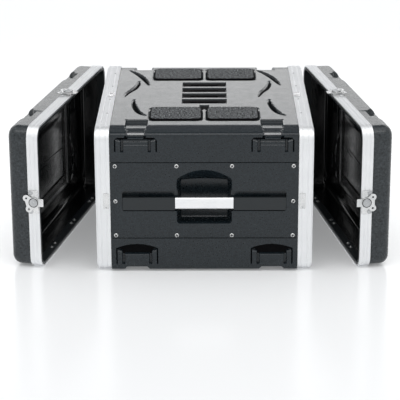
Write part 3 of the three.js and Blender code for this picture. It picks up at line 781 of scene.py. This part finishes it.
def build_side(side, sign):
    """One side with its handle, made on the -Y side and turned about Z for the other"""
    matrix = Matrix.Identity(4) if sign < 0 else Matrix.Rotation(math.pi, 4, "Z")
    seams = (SEAMS[0] + SEAM_GAP, SEAMS[1] - SEAM_GAP)
    panel = facing(rectangle((-SHELL_X, SHELL_X), seams, 1.2), PANEL_THICK, 0)
    wide = (-GROOVE_HALF - GROOVE_WALL, GROOVE_HALF + GROOVE_WALL)
    tall = (GROOVE_Z[0] - GROOVE_WALL, GROOVE_Z[1] + GROOVE_WALL)
    trough = facing(rectangle(wide, tall, 7), GROOVE_BACK + GROOVE_WALL, 2.5)
    groove = facing(rectangle((-GROOVE_HALF, GROOVE_HALF), GROOVE_Z, 5), GROOVE_BACK, -3)
    add_piece(f"side_panel_{side}_skin", panel, [SHELL], "case", matrix, angle=40,
              bevel=1.1, bevel_from=35, joins=[trough, cup_space(CUP_WALL, 2, CUP_DEPTH + CUP_WALL)],
              cuts=[groove, cup_space(0, -4, CUP_DEPTH)], nodes=[f"side_panel_{side}"])

    face = -FACE - GRIP_PROUD
    profile = [(face + 12, GRIP_Z[0] + 1.5), (face + 1.5, GRIP_Z[0])]
    pitch = (GRIP_Z[1] - GRIP_Z[0] - 3) / GRIP_RIBS
    for i in range(GRIP_RIBS):
        z = GRIP_Z[0] + 1.5 + i * pitch
        profile += [(face + 0.1, z + 0.25), (face, z + 0.7)]
        profile += [(face, z + pitch - 0.7), (face + 0.1, z + pitch - 0.25)]
        profile += [(face + 0.55, z + pitch)] if i < GRIP_RIBS - 1 else []
    profile += [(face + 1.5, GRIP_Z[1]), (face + 12, GRIP_Z[1] - 1.5)]
    ends = [(-GRIP_HALF, 0.4), (-GRIP_HALF + 0.4, 0), (GRIP_HALF - 0.4, 0), (GRIP_HALF, 0.4)]
    middle = (GRIP_Z[0] + GRIP_Z[1]) / 2
    rows = []
    for x, inset in ends:
        k = 1 - inset / 14
        rows.append([(x, y + inset * 0.5, middle + (z - middle) * k) for y, z in profile])
    tab_x, tab_z = (-GRIP_HALF - 30, GRIP_HALF + 30), (GRIP_Z[0] + 4, GRIP_Z[1] - 4)
    grip = Builder().loft(rows, caps=True).box(tab_x, (-FACE + 8.1, -FACE + 14.7), tab_z)
    add_piece(f"grip_{side}", grip, [GRIP], "case", matrix, angle=25,
              nodes=[f"handle_bar_{side}"])

    face, back = 0.3, COVER_THICK + 0.3
    for end in SIDES:
        name = "front" if end * -sign < 0 else "rear"
        x = sorted((end * (GRIP_HALF + 0.4), end * (GROOVE_HALF - 0.4)))
        foot_x = sorted((end * (GROOVE_HALF - COVER_FOOT), end * (GROOVE_HALF - 0.4)))
        foot = facing(rectangle(foot_x, COVER_Z, 2.0, 3), GROOVE_BACK - 0.4, back)
        cover = facing(rectangle(x, COVER_Z, 2.0, 3), back, face).copies(foot, [Matrix()])
        add_piece(f"cover_{side}_{name}", cover, [COVER], "case", matrix, bevel=0.8,
                  nodes=[f"handle_cover_{side}_{name}"])

    head, cross = screw_head()
    places = []
    for i, (x, z) in enumerate(SCREWS):
        stand = Matrix.Translation((x, -FACE, z)) @ Matrix.Rotation(math.pi / 2, 4, "X")
        places.append(stand @ Matrix.Rotation(math.radians(37 * i % 90), 4, "Z"))
    add_piece(f"side_screws_{side}", Builder().copies(head, places), [NICKEL, SHADE_PAINT], "case",
              matrix, angle=40, cuts=[Builder().copies(cross, places)])


# ---- Valances ----

NEAR_CORNERS = (0.004, 0.996)
LINED_DEPTH = 7.5
LIP_DEPTH = 10.8  # how far inside the outer face the lid valance's inner lip ends
RIVET_TAIL = [(5.2, -0.3), (5.2, 0.7), (4.9, 0.9), (2.7, 0.9), (2.6, 2.4), (2.0, 3.1), (0.5, 3.4)]


def ridged(start, end, marks, depth=0.7, half=1.5):
    """Outer face of a valance from a low x to a high one, with shallow lengthwise channels"""
    out = [(start, 0.5), (start + 0.5, 0)]
    for mark in marks:
        out += [(mark - half, 0), (mark - half * 0.4, depth), (mark + half * 0.4, depth), (mark + half, 0)]
    return out + [(end - 0.5, 0), (end, 0.5)]


def valance_kinds(profile):
    """Bright metal outside, dark lining where the profile lies deep inside the rim"""
    count = len(profile)
    return [int(min(profile[i][1], profile[(i + 1) % count][1]) > LINED_DEPTH) for i in range(count)]


def dome(radius, height, rise, steps=5):
    """Lathe profile of a rivet head standing on z = 0: a short wall, then a rounded top"""
    angles = [math.pi / 2 * i / steps for i in range(1, steps)]
    curve = [(radius * math.cos(a), rise + (height - rise) * math.sin(a)) for a in angles]
    return [(radius, -0.3), (radius, rise), *curve, (radius * 0.05, height)]


def add_rim(name, profile, body, matrix, node):
    """A valance: a closed (x, depth) profile carried round the case outline"""
    rows = [[(x, y, z) for y, z in rim(depth, NEAR_CORNERS, NEAR_CORNERS)] for x, depth in profile]
    builder = Builder().loft(rows, closed_loft=True, kind=valance_kinds(profile))
    add_piece(name, builder, [VALANCE, COVER], body, matrix, angle=30, nodes=[node])


def build_valances(end):
    body = ridged(-31, 0, (-22.5, -9.5))
    body += [(0, 4.8), (2.6, 4.8), (3, 5.1), (3, 6.5), (2.6, 6.8), (0, 6.8), (0, 10.3), (-0.5, 10.8)]
    body += [(-24, 10.8), (-24, 8.3), (-6, 8.3), (-6, 2.7), (-31, 2.7)]
    add_rim(f"{end}_body_rim", body, "case", end_matrix(end), f"{end}_body_valance")

    lid = ridged(0.4, 27, (9.5, 19))
    lid += [(27, 2.7), (8, 2.7), (8, 8.3), (20, 8.3), (20, 10.8), (0.9, 10.8), (0.4, 10.3), (0.4, 7.7)]
    lid += [(4.4, 7.7), (4.4, 3.9), (0.4, 3.9)]
    add_rim(f"{end}_lid_rim", lid, f"{end}_lid", lid_matrix(end), f"{end}_lid_valance")

    head = Builder().lathe(dome(2.3, 0.9, 0.2), steps=16)
    along = [y if end == "rear" else -y for y in (-159, -42, 75, 195)]
    rivets = Builder().copies(head, [Matrix.Translation((-20, y, HEIGHT)) for y in along])
    add_piece(f"{end}_rim_rivets", rivets, [RIVET], "case", end_matrix(end), angle=50)

    tail = Builder().lathe(RIVET_TAIL, steps=18)
    places = [Matrix.Translation((11, y + shift, LIP_DEPTH)) for y in (-165, 0, 165) for shift in (-13, 13)]
    for shift in (-13, 13):
        stand = Matrix.Translation((11, shift, HEIGHT - LIP_DEPTH))
        places.append(stand @ Matrix.Rotation(math.pi, 4, "X"))
    for side in SIDES:
        for shift in (-23, 23):
            stand = Matrix.Translation((11, side * (HALF_WIDTH - LIP_DEPTH), LATCH_Z + shift))
            places.append(stand @ Matrix.Rotation(side * math.pi / 2, 4, "X"))
    add_piece(f"{end}_lid_rivet_tails", Builder().copies(tail, places), [NICKEL], f"{end}_lid",
              lid_matrix(end), angle=40)


# ---- Lids ----

LID_CURVES = [
    [(-205, 290), (-180, 250), (-176, 200), (-190, 160)],
    [(-190, 160), (-205, 120), (-200, 80), (-178, 55)],
]
LID_GROOVES = [curve_points([(side * y, z) for y, z in c]) for side in (1, -1) for c in LID_CURVES]
LID_PADS = [(y, z) for y in (-215, 215) for z in (96, 262)]
LID_WALL = 5
SCALLOP_Y, SCALLOP_HALF, SCALLOP_X, SCALLOP_DROP = 172, 44, 50, 15


def window(y, z, half, low, high, soft):
    """1 inside a rectangle of the lid's back, 0 outside it"""
    return min(between(y, -half, half, soft), between(z, low, high, soft))


def lid_relief(y, z):
    """Moulded relief of the lid's back: four pads stand highest, the middle panel lies deepest"""
    pads = max(between(y, py - 21, py + 21, 4) * between(z, pz - 24, pz + 24, 4) for py, pz in LID_PADS)
    border = window(y, z, 268, 27, HEIGHT - 27, 9)
    field = window(y, z, 150, 62, 286, 12)
    panel = window(y, z, 118, 92, 256, 8)
    grooves = groove_depth(LID_GROOVES, y, z, 14, 3.2)
    return 1.4 * (pads - 1) - 1.6 * (border * (1 - pads)) + 1.5 * field * (1 - pads) - 2.2 * panel - grooves


def scallop(x, y, grow):
    """0 outside the crescent cut into the lid's upper back edge, 1 well inside it"""
    away = abs(abs(y) - SCALLOP_Y) / (SCALLOP_HALF + grow)
    if away >= 1 or x < SCALLOP_X - grow:
        return 0.0
    edge = LID_DEPTH - (LID_DEPTH - SCALLOP_X + grow) * math.sqrt(1 - away * away)
    return ease(x, edge, 2.0)


def lid_ring(x, depth, grow, relief=0):
    """One ring of the lid's skin; `grow` widens the scallop, `relief` scales the back's relief"""
    across = [i / 130 for i in range(1, 130)]
    up = [i / 64 for i in range(1, 64)]
    low = ROOF - SCALLOP_DROP - grow
    row = []
    for y, z in rim(depth, across, up):
        px = x + (lid_relief(y, z) * relief if relief else 0)
        dip = scallop(px, y, grow) if z > HEIGHT - 40 else 0
        row.append((px, y, z + (min(z, low) - z) * dip))
    return row


def quarter(radius, back, depth, steps):
    """(x, depth) points round the back edge"""
    angles = [math.pi / 2 * i / steps for i in range(steps + 1)]
    return [(back - radius + radius * math.sin(a), depth + radius - radius * math.cos(a)) for a in angles]


def build_lid(end):
    """A lid as one skin: the outer side up to the middle of the back, then the lining back again"""
    inwards = [26, 30, 34, 38] + [38 + 3.4 * i for i in range(1, 39)]
    inwards = [(depth, min(1, (depth - 23) / 8)) for depth in inwards]
    inner, inner_back = STEP_IN + LID_WALL, LID_DEPTH - LID_WALL
    rings = [lid_ring(x, STEP_IN, 0) for x in (8.3, 27, 45, 53, 55)]
    rings += [lid_ring(x, depth, 0) for x, depth in quarter(20, LID_DEPTH, STEP_IN, 12)]
    rings += [lid_ring(LID_DEPTH, depth, 0, relief) for depth, relief in inwards]
    outer_count = len(rings)
    rings += [lid_ring(inner_back, depth, 3, relief) for depth, relief in reversed(inwards)]
    rings += [lid_ring(x, depth, 3) for x, depth in reversed(quarter(15, inner_back, inner, 9))]
    rings += [lid_ring(x, inner, 3) for x in (45, 27, 8.3)]
    builder = Builder()
    groups = [builder.add(ring) for ring in rings]
    for i, (row, other) in enumerate(zip(groups, groups[1:] + groups[:1])):
        if i != outer_count - 1:
            builder.strip(row, other, True, int(i >= outer_count))
    builder.face(groups[outer_count - 1])
    builder.face(reversed(groups[outer_count]), 1)
    add_piece(f"{end}_lid_skin", builder, [LID, LINING], f"{end}_lid", lid_matrix(end),
              angle=50, nodes=[f"{end}_lid_shell"])


# ---- Latches and keepers ----

EAR_X, EAR_Y, EAR_RADIUS = -14.5, 13.5, 8.3
PLATE_X = (-13.5, 11)
KEEPER_OFFSET = {"top": 0, "plus": 8, "minus": -8}
HUB_RADIUS = 9.8
HUB_PROFILE = [(3, 2.1), (3, 4.5), (HUB_RADIUS, 4.5), (HUB_RADIUS, 6.4), (9.3, 7.0), (8.4, 7.2)]
HUB_PROFILE += [(7.4, 7.0), (6.8, 6.6), (2.8, 6.5), (2.3, 7.1), (0.8, 7.2)]
# A thin near-black ring on the wing round the hub: a painted shadow line
HUB_SHADOW_RING = [(10.6, 5.3), (11.4, 5.3), (11.4, 5.95), (10.6, 5.95)]


def wing_outline():
    """Outline of a wing: a disc about the hub and two round ears, with a straight back between"""
    hub, back, steps = 12.6, 19, 96
    reach = math.hypot(EAR_X, EAR_Y)
    out = []
    for i in range(steps):
        angle = 2 * math.pi * i / steps
        radius = [hub]
        if abs(angle - math.pi) < math.atan2(EAR_Y, -EAR_X):
            radius.append(-back / math.cos(angle))
        for side in SIDES:
            off = angle - math.atan2(side * EAR_Y, EAR_X)
            off = abs((off + math.pi) % (2 * math.pi) - math.pi)
            if off < math.pi / 2:
                edge = EAR_RADIUS / max(math.sin(off), 1e-6)
                if edge * math.cos(off) > reach:
                    chord = max(0, EAR_RADIUS**2 - (reach * math.sin(off)) ** 2)
                    edge = reach * math.cos(off) + math.sqrt(chord)
                radius.append(edge)
        radius = max(radius)
        out.append((radius * math.cos(angle), radius * math.sin(angle)))
    return out


def build_latch(end, key):
    name = SIDE_NAMES[end][key]
    lid = f"{end}_lid"
    matrix = lid_matrix(end) @ latch_matrix(key)
    rest = 13 if (end, key) == ("front", "plus") else 0  # degrees that one wing stands askew
    base = Builder().prism(rectangle(PLATE_X, (-29, 29), 4), 0.3, 1.8)
    for side in SIDES:
        base.box(PLATE_X, sorted((side * 9.9, side * 11.4)), (1.2, 3.4))
    add_piece(f"{end}_latch_plate_{name}", base, [NICKEL], lid, matrix, bevel=0.35,
              nodes=[f"{end}_latch_base_{name}"])
    rivets = Builder()
    for side in SIDES:
        rivets.lathe([(5.6, 1.6), (5.6, 2.1), (5.0, 3.0), (3.6, 3.5), (1.0, 3.7)], (-7.6, side * 23), 20)
    add_piece(f"{end}_latch_rivets_{name}", rivets, [RIVET], lid, matrix, angle=45)

    hook = Builder().prism(rectangle((-13, 23.5), (-9.5, 9.5), 1.5), 2.1, 3.6)
    slot = Builder().prism(rectangle((-8.9, 3.4), (-3.4, 3.4), 3), 0, 6)
    catch = Builder().prism(rectangle((14.5, 17.2), (-5.2, 5.2), 1), 2.9, 6)
    add_piece(f"{end}_latch_catch_{name}", hook, [NICKEL], f"{end}_hook_{name}", matrix,
              bevel=0.4, cuts=[slot, catch], nodes=[f"{end}_latch_hook_{name}"])

    turn = matrix @ Matrix.Rotation(math.radians(rest), 4, "Z")
    body = f"{end}_wing_{name}"
    wing = Builder().prism(wing_outline(), 3.9, 5.7)
    holes = [Builder().lathe([(2.3, 0), (2.3, 9)], (EAR_X, side * EAR_Y), 16) for side in SIDES]
    add_piece(f"{end}_latch_butterfly_{name}", wing, [NICKEL], body, turn, bevel=0.55,
              cuts=holes, nodes=[f"{end}_latch_wing_{name}"])
    hub = Builder().lathe(HUB_PROFILE, steps=32).lathe(HUB_SHADOW_RING, steps=32, kind=1)
    add_piece(f"{end}_latch_hub_{name}", hub, [RIVET, SHADE_PAINT], body, turn, angle=30)


def build_keeper(end, key):
    name = SIDE_NAMES[end][key]
    matrix = end_matrix(end) @ latch_matrix(key)
    x0, x1 = 14.5 + HUB_X, 28.5 + HUB_X
    y0, y1 = KEEPER_OFFSET[key] - 19, KEEPER_OFFSET[key] + 19
    plate = Builder().prism(rectangle((x0, x1), (y0, y1), 2.5), 0.05, 1.2)
    slot = Builder().prism(rectangle((x0 + 2.2, x1 - 3.2), (-11, 11), 1.5), 0.55, 3)
    add_piece(f"{end}_strike_{name}", plate, [NICKEL], "case", matrix, bevel=0.3,
              cuts=[slot], nodes=[f"{end}_keeper_{name}"])
    rivets = Builder()
    for y in (y0 + 3.4, y1 - 3.4):
        rivets.lathe([(1.9, 0.7), (1.9, 0.9), (1.4, 1.1), (0.4, 1.18)], ((x0 + x1) / 2, y), 14)
    add_piece(f"{end}_strike_rivets_{name}", rivets, [RIVET], "case", matrix, angle=45)


# ---- Rack rails ----

RACK_UNIT, UNITS = 44.45, 6
HOLE_STEPS = (6.35, 22.225, 38.1)
RAIL_PROFILE = [(216, 224.8), (216, 283.4), (195, 283.4), (195, 281.4), (214, 281.4), (214, 224.8)]


def build_rail(end, side):
    sign, way = (-1 if side == "right" else 1), (-1 if end == "front" else 1)
    low = MIDDLE_Z - UNITS / 2 * RACK_UNIT
    profile = rounded(RAIL_PROFILE, [0.6, 1.8, 0.6, 0.6, 0.8, 0.6], 3)
    ends = (low - 3, low + UNITS * RACK_UNIT + 3)
    rail = Builder().loft([[(way * x, sign * y, z) for x, y in profile] for z in ends], caps=True)
    hole = Builder().lathe([(2.9, -5), (2.9, 5)], steps=14)
    places = []
    for unit in range(UNITS):
        for step in HOLE_STEPS:
            place = Matrix.Translation((way * 215, sign * 232.55, low + unit * RACK_UNIT + step))
            places.append(place @ Matrix.Rotation(math.pi / 2, 4, "Y"))
    add_piece(f"rail_{end}_{side}", rail, [RAIL], "case", angle=40,
              cuts=[Builder().copies(hole, places)], nodes=[f"rack_rail_{end}_{side}"])


# ---- Build ----

build_shells()
for side_name, side_sign in (("right", -1), ("left", 1)):
    build_side(side_name, side_sign)
for end_name in ("front", "rear"):
    build_valances(end_name)
    build_lid(end_name)
    for latch_key in ("top", "plus", "minus"):
        build_latch(end_name, latch_key)
        build_keeper(end_name, latch_key)
    for side_name in ("right", "left"):
        build_rail(end_name, side_name)


# ---- Camera, floor and light ----

camera = new_object("camera", bpy.data.cameras.new("camera"))
camera.data.sensor_width = 36
camera.data.lens = 144.24
camera.data.shift_y = -0.1275
pitch, yaw, roll = 0.314335879, -0.00523578, -0.00341745
ahead = Vector((math.sin(yaw) * math.cos(pitch), math.cos(yaw) * math.cos(pitch), -math.sin(pitch)))
level = Vector((math.cos(yaw), -math.sin(yaw), 0))
above = level.cross(ahead)
right = level * math.cos(roll) + above * math.sin(roll)
upward = above * math.cos(roll) - level * math.sin(roll)
facing_case = Matrix((right, upward, -ahead)).transposed().to_4x4()
camera.matrix_world = Matrix.Translation((0.00877, -3.7858, 1.43764)) @ facing_case
camera.data.clip_end = 100
bpy.context.scene.camera = camera

FLOOR_HALF = 30000
floor = Builder().box((-FLOOR_HALF, FLOOR_HALF), (-FLOOR_HALF, FLOOR_HALF), (-40, -0.2))
paint = Nodes("floor_paint", Metallic=0.0, Specular_IOR_Level=0.5, Roughness=0.2, Emission_Strength=0.17)
paint.shader.inputs["Emission Color"].default_value = (0.98, 0.99, 1, 1)
paint.tint(paint.noise(0.7, 2), (0.80, 0.81, 0.82), (0.82, 0.825, 0.83))
floor_piece = new_object("floor", floor.mesh("floor", [paint.material], Matrix.Identity(4)))


def area_light(name, place, target, size, power):
    """A soft lamp pointed at `target`, which the camera doesn't see itself"""
    light = bpy.data.lights.new(name, "AREA")
    light.shape = "RECTANGLE"
    light.size, light.size_y = size
    light.energy = power
    lamp = new_object(name, light)
    lamp.location = place
    lamp.rotation_euler = (Vector(target) - Vector(place)).to_track_quat("-Z", "Y").to_euler()
    lamp.visible_camera = False


area_light("overhead", (0, -0.85, 3.1), (0, -0.1, 0.2), (3.6, 2.6), 14)
area_light("strip", (0, -1.3, 2.75), (0, -0.3, 0.2), (3.6, 0.45), 17)
area_light("back", (0, 5.0, 1.78), (0, 0, 0.4), (7.0, 1.05), 37)

# A pale room with a dim patch high behind the case, which its sloping top edges mirror
PATCH_WAY, PATCH_EDGE = (0, 0.70, 0.714), (0.91, 0.955)
ROOM, PATCH = (0.87, 0.875, 0.88), (0.15, 0.15, 0.16)
world = bpy.data.worlds.new("studio")
bpy.context.scene.world = world
world.use_nodes = True
tree = world.node_tree
heading = tree.nodes.new("ShaderNodeTexCoord")
nearness = tree.nodes.new("ShaderNodeVectorMath")
nearness.operation = "DOT_PRODUCT"
nearness.inputs[1].default_value = PATCH_WAY
fade = tree.nodes.new("ShaderNodeValToRGB")
tree.links.new(heading.outputs["Generated"], nearness.inputs[0])
tree.links.new(nearness.outputs["Value"], fade.inputs["Fac"])
tree.links.new(fade.outputs["Color"], tree.nodes["Background"].inputs["Color"])
set_stops(fade, PATCH_EDGE, (ROOM, PATCH))
bpy.context.scene.view_settings.view_transform = "Standard"
